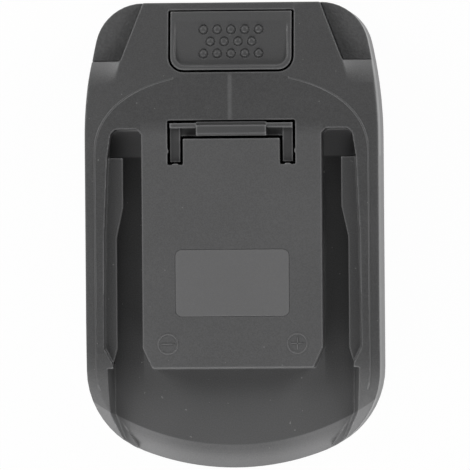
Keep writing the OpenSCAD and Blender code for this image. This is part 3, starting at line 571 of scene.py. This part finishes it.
@dataclass(frozen=True)
class Moulding:
    """How a solid becomes a moulded piece, with its edges rounded over by a fine remesh.

    Attributes:
        voxel: Size of the remesh cells in metres.
        rounds: Smoothing passes that round the edges.
        kept: Share of the faces that stay after thinning.
    """

    voxel: float
    rounds: int
    kept: float

    def build(self, node: str, top: float | None = None) -> bpy.types.Object:
        """Make the moulded piece of a CAD node.

        Args:
            node: Name of the node that the piece stands for.
            top: Height that nothing on the piece stands above, in metres.

        Returns:
            The new piece, in place.
        """
        piece = bpy.data.objects.new(f"{node}_moulded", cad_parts[node].data.copy())
        bpy.context.scene.collection.objects.link(piece)
        piece.modifiers.new("weld", "WELD").merge_threshold = WELD
        remesh = piece.modifiers.new("remesh", "REMESH")
        remesh.mode = "VOXEL"
        remesh.voxel_size = self.voxel
        smooth = piece.modifiers.new("smooth", "SMOOTH")
        smooth.factor = 0.5
        smooth.iterations = self.rounds
        piece.modifiers.new("thin", "DECIMATE").ratio = self.kept
        solved = piece.evaluated_get(bpy.context.evaluated_depsgraph_get())
        mesh = bpy.data.meshes.new_from_object(solved)
        piece.modifiers.clear()
        piece.data = mesh
        mesh.name = piece.name
        if top is not None:
            for vertex in mesh.vertices:
                vertex.co.z = min(vertex.co.z, top)
        mesh.shade_smooth()
        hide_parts(node)
        return piece


def finish_piece(piece: bpy.types.Object, body: Body, material: bpy.types.Material) -> None:
    """Dress a new piece and let it ride.

    Args:
        piece: The new piece, in place.
        body: Body that carries it.
        material: Finish of the piece.
    """
    dress(piece, material)
    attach(piece, body.value)
    LOG.info("%s: %d faces on %s", piece.name, len(piece.data.polygons), body.value)


def new_piece(name: str, shape: bmesh.types.BMesh) -> bpy.types.Object:
    """Make a smooth piece from a finished shape.

    Args:
        name: Name of the piece.
        shape: Its shape, which is freed.

    Returns:
        The new piece.
    """
    mesh = bpy.data.meshes.new(name)
    bmesh.ops.recalc_face_normals(shape, faces=shape.faces)
    shape.to_mesh(mesh)
    shape.free()
    mesh.shade_smooth()
    piece = bpy.data.objects.new(name, mesh)
    bpy.context.scene.collection.objects.link(piece)
    return piece


def soften(node: str, edge: float) -> bpy.types.Object:
    """Break the edges of a CAD node by modifiers.

    Args:
        node: Name of the node.
        edge: Width of the broken edges in metres.

    Returns:
        The node's object.
    """
    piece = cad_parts[node]
    piece.modifiers.new("weld", "WELD").merge_threshold = WELD
    flat = piece.modifiers.new("flat", "DECIMATE")
    flat.decimate_type = "DISSOLVE"
    flat.angle_limit = FLAT_ANGLE
    bevel = piece.modifiers.new("bevel", "BEVEL")
    bevel.width = edge
    bevel.segments = 2
    bevel.limit_method = "ANGLE"
    bevel.angle_limit = EDGE_ANGLE
    bevel.harden_normals = True
    piece.modifiers.new("normals", "WEIGHTED_NORMAL").keep_sharp = True
    return piece


@dataclass
class Housing:
    """Both shells, the corner pads, the bare label, the polarity marks and the crease.

    Attributes:
        shell: Moulding of the upper shell.
        base: Moulding of the lower shell.
        pad: Moulding of the corner pads.
        deck_z: Height of the deck.
        mark_x: Distance of the marks from the centre line.
        mark_y: Place of the marks along the part.
        mark_r: Outer radius of a mark's ring.
        mark_line: Line width of the marks.
        mark_h: Height of the marks over the deck.
        mark_edge: Width of a bar's broken edges.
        bar_share: Length of a bar, as a share of the ring's radius.
        label_edge: Width of the label's broken edges.
        crease_x: Half the width of the crease.
        crease_y: Place where its arch begins.
        crease_len: Length of the arch.
        crease_power: Power of the arch's curve, where 2 is an ellipse.
        crease_turn: How far the bead follows the arch, in degrees.
        crease_rear: Rear end of the bead.
        fall_y: Place where the rims begin to fall to the rear.
        fall_len: Length of that fall.
        fall: Depth of that fall.
        corner_x: Centre of the rear corners across the part.
        corner_y: Centre of the rear corners along the part.
        crease_w: Width of the bead.
        crease_h: Height of the bead.
        rear_fade: How fast the bead rises at its rear end.
        front_fade: How fast it fades at its front end.
        faded: Height that is left at its ends, as a share.
    """

    shell: Moulding = Moulding(0.22 * MM, 3, 0.1)
    base: Moulding = Moulding(0.4 * MM, 4, 0.12)
    pad: Moulding = Moulding(0.16 * MM, 5, 0.2)
    deck_z: float = 44.0 * MM
    mark_x: float = 16.65 * MM
    mark_y: float = -27.9 * MM
    mark_r: float = 2.7 * MM
    mark_line: float = 0.35 * MM
    mark_h: float = 0.2 * MM
    mark_edge: float = 0.07 * MM
    bar_share: float = 1.24
    label_edge: float = 0.08 * MM
    crease_x: float = 35.3 * MM
    crease_y: float = 20.2 * MM
    crease_len: float = 21.6 * MM
    crease_power: float = 2.3
    crease_turn: float = 66.0
    crease_rear: float = -40.0 * MM
    fall_y: float = -18.0 * MM
    fall_len: float = 36.0 * MM
    fall: float = 7.5 * MM
    corner_x: float = 15.3 * MM
    corner_y: float = -34.6 * MM
    crease_w: float = 0.5 * MM
    crease_h: float = 0.12 * MM
    rear_fade: float = 8.0
    front_fade: float = 4.0
    faded: float = 0.05

    def build(self) -> None:
        """Build and dress every piece of the housing."""
        plastic = HOUSING_PLASTIC.material()
        finish_piece(self.shell.build("top_shell", self.deck_z), Body.HOUSING, plastic)
        finish_piece(self.base.build("bottom_shell"), Body.HOUSING, BASE_PLASTIC.material())
        finish_piece(self.pad.build("corner_pads"), Body.HOUSING, PAD_PLASTIC.material())
        lines = LINE_PLASTIC.material()
        finish_piece(self.marks(), Body.HOUSING, lines)
        finish_piece(self.crease(), Body.HOUSING, lines)
        dress(soften("label_plate", self.label_edge), LABEL_FILM.material())

    def marks(self) -> bpy.types.Object:
        """Raise both polarity marks from the deck.

        Returns:
            The new piece.
        """
        shape = bmesh.new()
        for side, bars in ((-1, 1), (1, 2)):
            centre = Vector((side * self.mark_x, self.mark_y, self.deck_z))
            self.ring(shape, centre)
            for turn in range(bars):
                self.bar(shape, Matrix.Translation(centre) @ Matrix.Rotation(turn * math.pi / 2, 4, "Z"))
        return new_piece("polarity_marks", shape)

    def crease(self, steps: int = 90) -> bpy.types.Object:
        """Raise the fine bead along both sides of the arched crease between deck and hump.

        Args:
            steps: Steps round the arch of each side.

        Returns:
            The new piece.
        """
        shape = bmesh.new()
        straight = steps // 3
        bow = self.crease_x - self.corner_x
        for side in (-1, 1):
            path = []
            for step in range(straight):
                y = self.crease_rear + (self.crease_y - self.crease_rear) * step / straight
                drop = self.fall * (max(0.0, self.fall_y - y) / self.fall_len) ** 2
                out = math.sqrt(bow**2 - max(0.0, self.corner_y - y) ** 2)
                path.append(Vector((side * (self.corner_x + out), y, self.deck_z - drop)))
            for step in range(steps + 1):
                angle = math.radians(self.crease_turn) * step / steps
                out, ahead = math.cos(angle), math.sin(angle)
                share = (out**self.crease_power + ahead**self.crease_power) ** (1 / self.crease_power)
                x, y = self.crease_x * out / share, self.crease_y + self.crease_len * ahead / share
                path.append(Vector((side * x, y, self.deck_z)))
            self.bead(shape, path)
        return new_piece("crease_bead", shape)

    def bead(self, shape: bmesh.types.BMesh, path: list[Vector]) -> None:
        """Add a low round bead along a path, which fades out at both ends.

        Args:
            shape: Shape that the bead joins.
            path: Points on the shell, from the rear.
        """
        side = [(1, -0.4), (0.8, 0.35), (0.4, 0.85)]
        section = [*side, (0, 1), *((-u, v) for u, v in reversed(side))]
        rings = []
        last = len(path) - 1
        for index, point in enumerate(path):
            run = (path[min(index + 1, last)] - path[max(index - 1, 0)]).normalized()
            across = Vector((run.y, -run.x, 0)) * self.crease_w / 2
            fade = min(1.0, self.front_fade * (1 - index / last), self.rear_fade * index / last)
            rise = self.crease_h * (self.faded + (1 - self.faded) * fade)
            rings.append([shape.verts.new(point + u * across + Vector((0, 0, v * rise))) for u, v in section])
        loft(shape, rings)

    def ring(self, shape: bmesh.types.BMesh, centre: Vector, steps: int = 72) -> None:
        """Add the ring of a mark, with a rounded top.

        Args:
            shape: Shape that the ring joins.
            centre: Centre of the ring on the deck.
            steps: Steps round the ring.
        """
        half, h = self.mark_line / 2, self.mark_h
        side = [(half, -h / 2), (half, 0.6 * h), (0.55 * half, h)]
        section = [*side, *((-r, z) for r, z in reversed(side))]
        middle = self.mark_r - half
        rings = []
        for step in range(steps):
            angle = 2 * math.pi * step / steps
            out = Vector((math.cos(angle), math.sin(angle), 0))
            corners = [centre + out * (middle + r) + Vector((0, 0, z)) for r, z in section]
            rings.append([shape.verts.new(corner) for corner in corners])
        loft(shape, rings, closed=True)

    def bar(self, shape: bmesh.types.BMesh, place: Matrix) -> None:
        """Add one bar of a mark, with broken edges.

        Args:
            shape: Shape that the bar joins.
            place: Place and turn of the bar on the deck.
        """
        size = (self.bar_share * self.mark_r, self.mark_line, 1.5 * self.mark_h)
        scale = Matrix.Diagonal((*size, 1.0))
        lift = Matrix.Translation((0, 0, self.mark_h / 4))
        made = bmesh.ops.create_cube(shape, size=1.0, matrix=place @ lift @ scale)
        edges = {edge for vertex in made["verts"] for edge in vertex.link_edges}
        bmesh.ops.bevel(shape, geom=list(edges), offset=self.mark_edge, segments=2, affect="EDGES")


def loft(shape: bmesh.types.BMesh, rings: list[list[bmesh.types.BMVert]], closed: bool = False) -> None:
    """Join rings of points by faces.

    Args:
        shape: Shape that the faces join.
        rings: Rings with as many points each.
        closed: Whether the last ring meets the first; otherwise both ends are capped.
    """
    count = len(rings)
    for index in range(count if closed else count - 1):
        here, there = rings[index], rings[(index + 1) % count]
        for k in range(len(here)):
            j = (k + 1) % len(here)
            shape.faces.new((here[k], here[j], there[j], there[k]))
    if not closed:
        shape.faces.new(reversed(rings[0]))
        shape.faces.new(rings[-1])


@dataclass
class Latch:
    """Release button, hook, carriage and screws, which go down together, and their springs.

    Attributes:
        button: Moulding of the release button.
        hook: Moulding of the hook.
        post_x: Distance of the springs' posts from the centre line.
        post_y: Place of the posts along the part.
        coil_r: Radius of a coil to the middle of its wire.
        wire: Diameter of the wire.
        turns: Turns of a coil, with a closed one at each end.
        travel: How far the latch goes down; not used.
        edge: Width of the carriage's broken edges.
        steps_per_turn: Steps along one turn of a coil.
        sides: Sides of the wire.
        bump_pitch: Distance of the grip bumps in a row.
        bump_rows: Distance of the rows.
        bump_y: Place of the middle row along the part.
        bump_r: Radius of a bump.
        bump_h: Height of a bump.
        bump_root: How far a bump reaches into the button.
        bump_power: Power of a bump's profile, where 1 is round and less is squarer.
        groove_w: Width of the groove round a bump.
        groove: Depth of that groove.
        probe_z: Height above every piece, from which the bumps are sought.
    """

    button: Moulding = Moulding(0.14 * MM, 3, 0.5)
    hook: Moulding = Moulding(0.1 * MM, 3, 0.3)
    post_x: float = 12.0 * MM
    post_y: float = 35.45 * MM
    coil_r: float = 3.6 * MM
    wire: float = 0.8 * MM
    turns: float = 7.0
    travel: float = 3.5 * MM
    edge: float = 0.25 * MM
    steps_per_turn: int = 28
    sides: int = 10
    bump_pitch: float = 3.56 * MM
    bump_rows: float = 3.1 * MM
    bump_y: float = 49.875 * MM
    bump_r: float = 0.95 * MM
    bump_h: float = 0.65 * MM
    bump_root: float = 0.4 * MM
    bump_power: float = 0.77
    groove_w: float = 0.28 * MM
    groove: float = 0.2 * MM
    probe_z: float = 100.0 * MM

    def build(self) -> None:
        """Build and dress every piece of the latch."""
        feet = self.feet()
        button = self.button.build("release_button")
        self.level(button, feet)
        finish_piece(button, Body.LATCH, BUTTON_PLASTIC.material())
        finish_piece(self.bumps(feet), Body.LATCH, SHADED_BUMP_PLASTIC.material())
        finish_piece(self.hook.build("latch_hook"), Body.LATCH, LATCH_PLASTIC.material())
        self.springs()
        dress(soften("latch_carriage", self.edge), INNER_PLASTIC.material())
        dress(soften("latch_screws", self.edge / 2), SCREW_STEEL.material())

    def feet(self) -> list[Vector]:
        """Find where the grip bumps stand on the dish, in rows of five, four and five.

        Returns:
            The middle of each bump's foot, row by row from the rear.
        """
        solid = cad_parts["release_button"].data
        corners = [vertex.co.copy() for vertex in solid.vertices]
        tree = BVHTree.FromPolygons(corners, [tuple(face.vertices) for face in solid.polygons])
        feet = []
        for row, count in ((-1, 5), (0, 4), (1, 5)):
            for index in range(count):
                x = (index - (count - 1) / 2) * self.bump_pitch
                above = Vector((x, self.bump_y + row * self.bump_rows, self.probe_z))
                top = tree.ray_cast(above, Vector((0, 0, -1)))[0]
                feet.append(top - Vector((0, 0, self.bump_h)))
        return feet

    def level(self, button: bpy.types.Object, feet: list[Vector]) -> None:
        """Level the dish below the bumps, with a fine groove round each.

        Args:
            button: Moulded button.
            feet: Places of the bumps.
        """
        fall = (feet[-1].z - feet[0].z) / (feet[-1].y - feet[0].y)
        reach = self.bump_r + self.groove_w
        for vertex in button.data.vertices:
            for foot in feet:
                way = vertex.co - foot
                if way.xy.length < reach and way.z > -self.bump_h:
                    vertex.co.z = foot.z + fall * way.y - self.groove
        button.data.update()

    def bumps(self, feet: list[Vector]) -> bpy.types.Object:
        """Raise the grip bumps.

        Args:
            feet: Places of the bumps.

        Returns:
            The new piece.
        """
        shape = bmesh.new()
        for foot in feet:
            self.dome(shape, foot)
        return new_piece("button_bumps", shape)

    def dome(self, shape: bmesh.types.BMesh, foot: Vector, steps: int = 28, levels: int = 8) -> None:
        """Add one bump with steep sides and a round top.

        Args:
            shape: Shape that the bump joins.
            foot: Middle of its foot on the dish.
            steps: Steps round the bump.
            levels: Rings from its foot to its top.
        """
        turns = [2 * math.pi * step / steps for step in range(steps)]
        rings = []
        for level in range(-1, levels + 1):
            lift = max(0.0, 0.97 * level / levels) * math.pi / 2
            r = self.bump_r * math.cos(lift) ** self.bump_power
            z = self.bump_h * math.sin(lift) ** self.bump_power if level >= 0 else -self.bump_root
            corners = [foot + Vector((r * math.cos(turn), r * math.sin(turn), z)) for turn in turns]
            rings.append([shape.verts.new(corner) for corner in corners])
        loft(shape, rings)

    def springs(self) -> None:
        """Wind both springs."""
        low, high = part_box("latch_springs")
        shape = bmesh.new()
        for side in (-1, 1):
            self.coil(shape, Vector((side * self.post_x, self.post_y, 0)), low.z, high.z)
        piece = new_piece("latch_springs_wound", shape)
        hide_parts("latch_springs")
        finish_piece(piece, Body.HOUSING, SPRING_STEEL.material())
        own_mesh(piece)

    def coil(self, shape: bmesh.types.BMesh, centre: Vector, low: float, high: float) -> None:
        """Add one coil spring with closed end turns.

        Args:
            shape: Shape that the coil joins.
            centre: Point on the axis of the coil.
            low: Height of the lower end.
            high: Height of the upper end.
        """
        r = self.wire / 2
        span = high - low - self.wire
        shut = 1.05 * self.wire
        count = round(self.turns * self.steps_per_turn)
        angles = [2 * math.pi * side / self.sides for side in range(self.sides)]
        rings = []
        for step in range(count + 1):
            turn = step / self.steps_per_turn
            rise = (span - 2 * shut) * min(max((turn - 1) / (self.turns - 2), 0), 1)
            rise += shut * (min(turn, 1) + max(turn - self.turns + 1, 0))
            out = Vector((math.cos(2 * math.pi * turn), math.sin(2 * math.pi * turn), 0))
            point = centre + self.coil_r * out + Vector((0, 0, low + r + rise))
            corners = [point + r * (math.cos(a) * out + Vector((0, 0, math.sin(a)))) for a in angles]
            rings.append([shape.verts.new(corner) for corner in corners])
        loft(shape, rings)


@dataclass
class Contacts:
    """Blades for the battery, clips for the tool and the plastic that holds them.

    Attributes:
        edge: Width of the contacts' broken edges.
        clips: Nodes of the clips.
        blades: Nodes of the blades.
        holders: Nodes of the plastic.
    """

    edge: float = 0.12 * MM
    clips: tuple[str, ...] = ("positive_clip", "negative_clip", "signal_clips")
    blades: tuple[str, ...] = ("positive_blade", "negative_blade", "signal_blades")
    holders: tuple[str, ...] = ("terminal_carrier", "blade_block")

    def build(self) -> None:
        """Dress every contact and its holder."""
        brass = CONTACT_BRASS.material()
        for node in (*self.clips, *self.blades):
            dress(soften(node, self.edge), brass)
        plastic = INNER_PLASTIC.material()
        for node in self.holders:
            dress(soften(node, 2 * self.edge), plastic)


@dataclass
class Electronics:
    """Circuit board, its parts and the leads.

    Attributes:
        edge: Width of the board's broken edges.
    """

    edge: float = 0.1 * MM

    def build(self) -> None:
        """Dress the board, its parts and the leads."""
        epoxy = CHIP_EPOXY.material()
        dress(soften("circuit_board", self.edge), CircuitBoard().material())
        dress(soften("cutoff_transistors", 2 * self.edge), epoxy)
        dress(soften("control_chip", 2 * self.edge), epoxy)
        dress(soften("id_resistors", self.edge), ChipResistor().material())
        leads = {
            "positive_wire": RED_INSULATION,
            "negative_wire": BLACK_INSULATION,
            "signal_wires": YELLOW_INSULATION,
        }
        for node, finish in leads.items():
            dress(self.rounded_lead(node), finish.material())

    def rounded_lead(self, node: str) -> bpy.types.Object:
        """Round the section of a lead by modifiers.

        Args:
            node: Name of the lead's node.

        Returns:
            The node's object.
        """
        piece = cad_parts[node]
        piece.modifiers.new("weld", "WELD").merge_threshold = WELD
        piece.modifiers.new("round", "SUBSURF").render_levels = 1
        return piece


@dataclass
class Fasteners:
    """Screws of the housing, the board, the clips' carrier and the blades' block.

    Attributes:
        edge: Width of the screws' broken edges.
        screws: Nodes of the screws.
    """

    edge: float = 0.12 * MM
    screws: tuple[str, ...] = ("housing_screws", "board_screws", "carrier_screws", "block_screws")

    def build(self) -> None:
        """Dress every screw."""
        steel = SCREW_STEEL.material()
        for node in self.screws:
            dress(soften(node, self.edge), steel)


@dataclass(frozen=True)
class SoftBox:
    """A large soft lamp that points at the adapter.

    Attributes:
        name: Name of the lamp.
        azimuth: Direction to the lamp from +X towards +Y, in degrees.
        elevation: Height of the lamp over the horizon, in degrees.
        width: Width of the lamp in metres.
        height: Height of the lamp in metres.
        power: Power in watts.
        distance: Distance from the adapter in metres.
    """

    name: str
    azimuth: float
    elevation: float
    width: float
    height: float
    power: float
    distance: float = 0.8

    def build(self, aim: Vector) -> None:
        """Hang the lamp.

        Args:
            aim: Place that it points at.
        """
        lamp = bpy.data.lights.new(self.name, "AREA")
        lamp.shape = "RECTANGLE"
        lamp.size = self.width
        lamp.size_y = self.height
        lamp.energy = self.power
        light = bpy.data.objects.new(self.name, lamp)
        bpy.context.scene.collection.objects.link(light)
        turn, lift = math.radians(self.azimuth), math.radians(self.elevation)
        way = Vector((math.cos(turn) * math.cos(lift), math.sin(turn) * math.cos(lift), math.sin(lift)))
        light.location = aim + self.distance * way
        light.rotation_mode = "QUATERNION"
        light.rotation_quaternion = way.to_track_quat("Z", "Y")


@dataclass
class Studio:
    """Plain pale floor, soft lamps and the camera above the tool side.

    Attributes:
        floor_half: Half the width of the floor.
        floor_z: Height of the floor, just below the adapter.
        floor_colour: Colour of the floor as it takes light.
        shown_white: Share of plain white in the floor as it shows.
        ceiling: Colour of the surroundings overhead.
        world_level: Level at which the surroundings light.
        aim: Place that the camera and the lamps point at.
        view_width: Width of the view at that place.
        distance: Distance of the camera.
        tilt: Lean of the camera to the right, in degrees.
        roll: Turn of the camera about its view, in degrees.
        lamps: The soft lamps.
    """

    floor_half: float = 1.5
    floor_z: float = -0.1 * MM
    floor_colour: Colour = (0.92, 0.92, 0.92)
    shown_white: float = 0.97
    ceiling: Colour = (0.05, 0.05, 0.05)
    world_level: float = 0.3
    aim: Vector = Vector((0.8 * MM, 0.05 * MM, 44.0 * MM))
    view_width: float = 120.8 * MM
    distance: float = 2.4
    tilt: float = 2.8
    roll: float = -0.45
    lamps: tuple[SoftBox, ...] = (
        SoftBox("left_box", 150.0, 33.0, 0.35, 0.35, 2.3),
        SoftBox("right_box", 30.0, 33.0, 0.35, 0.35, 2.1),
        SoftBox("rear_box", -100.0, 36.0, 1.1, 0.45, 5.2),
        SoftBox("front_box", 90.0, 30.0, 0.4, 0.4, 0.7),
    )

    def build(self) -> None:
        """Set floor, world, lamps, camera and view."""
        self.floor()
        self.world()
        for lamp in self.lamps:
            lamp.build(self.aim)
        self.camera()
        bpy.context.scene.view_settings.view_transform = "Standard"
        LOG.info("studio: %d lamps", len(self.lamps))

    def seen(self, sheet: NodeSheet) -> Signal:
        """Tell rays that show from those that light.

        Args:
            sheet: Sheet of the material or the world.

        Returns:
            1 for a ray from the camera, a gloss or a clear body, and 0 for others.
        """
        kinds = ("Camera", "Glossy", "Transmission")
        camera, gloss, clear = (sheet.add("ShaderNodeLightPath", output=f"Is {kind} Ray") for kind in kinds)
        return camera.most(gloss).most(clear)

    def floor(self) -> None:
        """Lay the floor, which shows white and keeps the shadow."""
        shape = bmesh.new()
        bmesh.ops.create_grid(shape, x_segments=2, y_segments=2, size=self.floor_half)
        floor = new_piece("floor", shape)
        floor.location.z = self.floor_z
        material, sheet = new_material("floor_white")
        paint = sheet.add("ShaderNodeBsdfDiffuse", None, {"Color": (*self.floor_colour, 1.0)})
        glow = sheet.add("ShaderNodeEmission", None, {"Strength": 1.0})
        share = self.seen(sheet) * self.shown_white
        mixed = sheet.add("ShaderNodeMixShader", None, {0: share, 1: paint, 2: glow})
        sheet.add("ShaderNodeOutputMaterial", None, {"Surface": mixed})
        dress(floor, material)

    def world(self) -> None:
        """Surround the floor with white at the horizon that darkens to the ceiling overhead, and lights at a
        plain level.
        """
        world = bpy.data.worlds.new("studio_white")
        world.use_nodes = True
        bpy.context.scene.world = world
        sheet = NodeSheet(world.node_tree)
        high = sheet.axis(sheet.place("Generated"), "Z").step(0.15, 0.9)
        level = self.world_level + (1.0 - self.world_level) * self.seen(sheet)
        colour = sheet.blend((1.0, 1.0, 1.0), self.ceiling, high)
        light = sheet.add("ShaderNodeBackground", None, {"Color": colour, "Strength": level})
        sheet.add("ShaderNodeOutputWorld", None, {"Surface": light})

    def camera(self) -> None:
        """Set the camera above the tool side, leaning a little to the right."""
        camera = bpy.data.objects.new("camera", bpy.data.cameras.new("camera"))
        bpy.context.scene.collection.objects.link(camera)
        lean = math.radians(self.tilt)
        back = Vector((math.sin(lean), 0, math.cos(lean)))
        up = Matrix.Rotation(math.radians(self.roll), 3, back) @ Vector((0, 1, 0))
        camera.rotation_mode = "QUATERNION"
        camera.rotation_quaternion = Matrix((up.cross(back), up, back)).transposed().to_quaternion()
        camera.location = self.aim + self.distance * back
        camera.data.lens = camera.data.sensor_width * self.distance / self.view_width
        camera.data.clip_start = 0.1
        camera.data.clip_end = 10.0
        bpy.context.scene.camera = camera


def main() -> None:
    """Build the adapter and its studio."""
    logging.basicConfig(level=logging.INFO, format="%(name)s: %(message)s")
    for part in (Housing(), Latch(), Contacts(), Electronics(), Fasteners(), Studio()):
        part.build()


if __name__ == "__main__":
    main()
